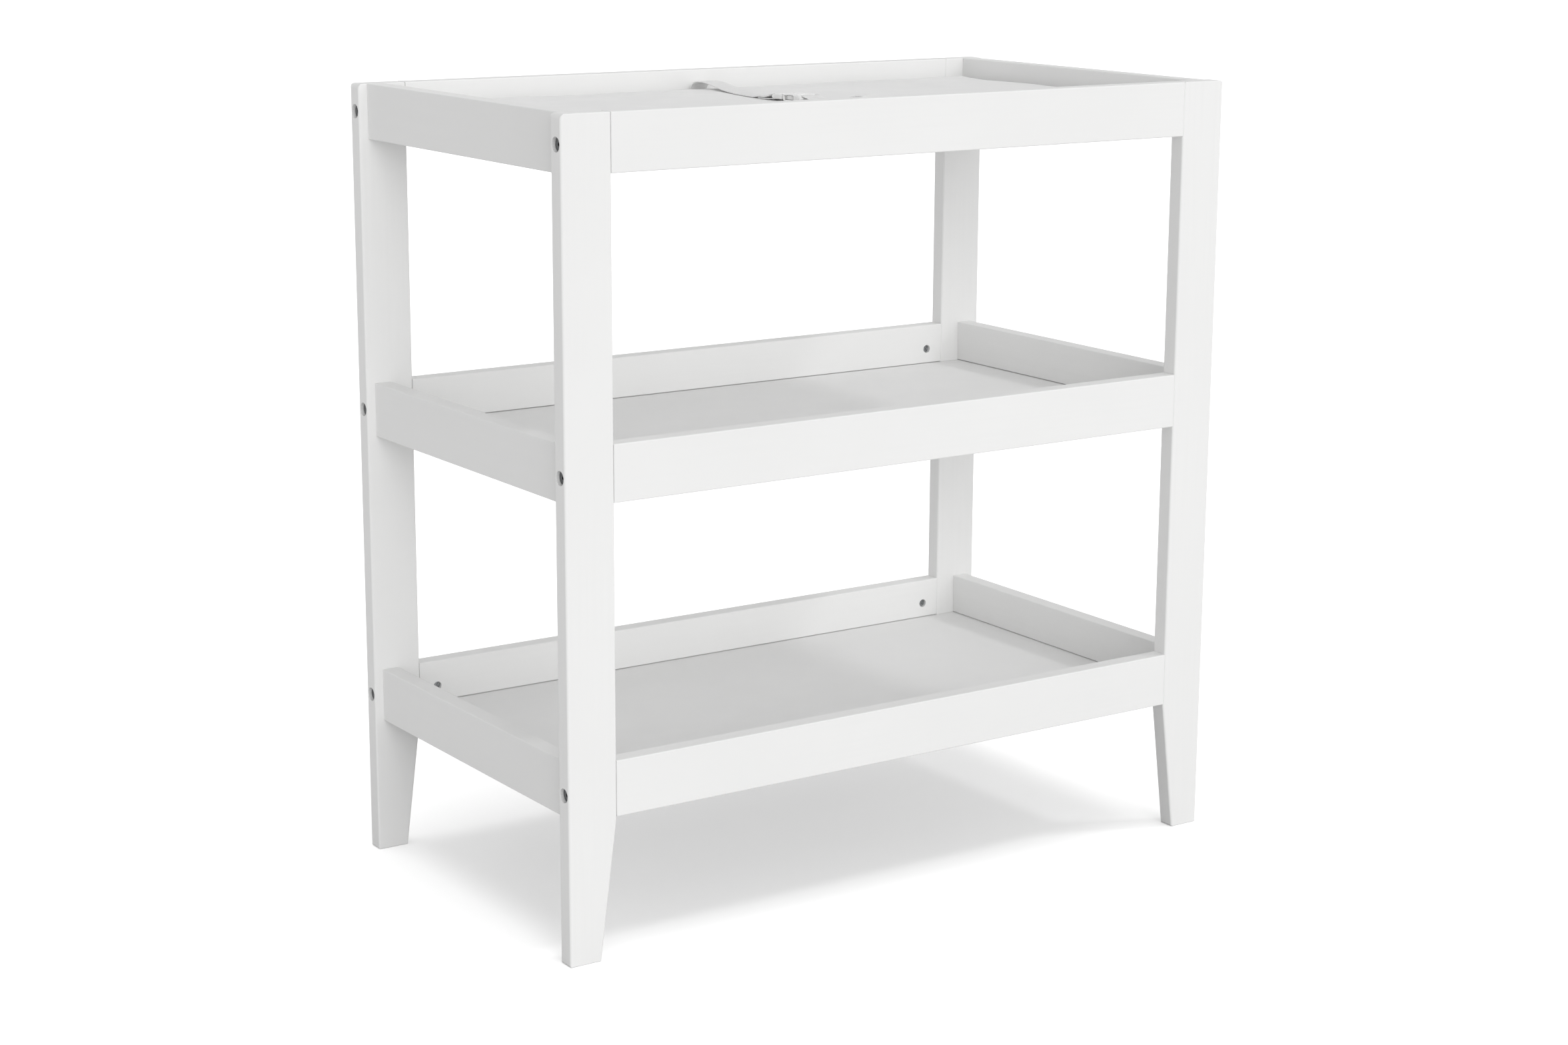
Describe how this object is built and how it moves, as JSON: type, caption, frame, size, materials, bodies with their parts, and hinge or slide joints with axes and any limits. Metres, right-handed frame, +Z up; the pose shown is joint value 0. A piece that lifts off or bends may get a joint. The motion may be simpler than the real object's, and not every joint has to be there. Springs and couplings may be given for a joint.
{
  "type": "changing table",
  "caption": "White three-shelf changing table: tapered legs, railed shelves bolted through the legs, and a padded top with a buckled safety belt.",
  "frame": {"origin": "on the floor at the middle of the table's footprint", "axes": "+X to the right across the width, -Y to the front, +Z up"},
  "size_m": [0.9, 0.484, 0.92],
  "materials": {
    "painted_wood": "satin white paint",
    "painted_panel": "satin white paint on fibreboard",
    "dark_zinc_steel": "dull dark zinc",
    "zinc_steel": "bright zinc",
    "raw_beech": "unfinished",
    "foam": "open-cell foam",
    "pad_vinyl": "soft satin vinyl",
    "webbing": "woven webbing",
    "buckle_plastic": "glossy moulded plastic"
  },
  "bodies": {
    "table": {"front_left_leg": "painted_wood", "front_right_leg": "painted_wood", "back_left_leg": "painted_wood", "back_right_leg": "painted_wood", "front_rail_top": "painted_wood", "front_rail_middle": "painted_wood", "front_rail_bottom": "painted_wood", "back_rail_top": "painted_wood", "back_rail_middle": "painted_wood", "back_rail_bottom": "painted_wood", "left_side_rail_top": "painted_wood", "left_side_rail_middle": "painted_wood", "left_side_rail_bottom": "painted_wood", "right_side_rail_top": "painted_wood", "right_side_rail_middle": "painted_wood", "right_side_rail_bottom": "painted_wood", "shelf_panel_top": "painted_panel", "shelf_panel_middle": "painted_panel", "shelf_panel_bottom": "painted_panel", "leg_bolts": "dark_zinc_steel", "barrel_nuts": "zinc_steel", "rail_dowels": "raw_beech", "side_frame_dowels": "raw_beech"},
    "pad": {"pad_foam": "foam", "pad_cover": "pad_vinyl", "pad_base_sheet": "pad_vinyl", "strap_back": "webbing", "strap_front": "webbing", "buckle_socket": "buckle_plastic"},
    "plug": {"buckle_plug": "buckle_plastic"},
    "prong_left": {"release_prong_left": "buckle_plastic"},
    "prong_right": {"release_prong_right": "buckle_plastic"}
  },
  "joints": [
    {"name": "pad_lift", "type": "slide", "parent": "table", "child": "pad", "axis": [0, 0, 1], "range_m": [0, 0.08]},
    {"name": "buckle_release", "type": "slide", "parent": "pad", "child": "plug", "axis": [-0.0872, 0.9962, 0], "range_m": [0, 0.03], "deforming": ["strap_back"]},
    {"name": "prong_left_squeeze", "type": "hinge", "parent": "plug", "child": "prong_left", "pos_m": [-0.03143, -0.0274, 0.9052], "axis": [0, 0, -1], "range_deg": [-6, 0], "stiffness_Nm_per_rad": 0.02},
    {"name": "prong_right_squeeze", "type": "hinge", "parent": "plug", "child": "prong_right", "pos_m": [-0.01091, -0.02561, 0.9052], "axis": [0, 0, 1], "range_deg": [-6, 0], "stiffness_Nm_per_rad": 0.02}
  ]
}
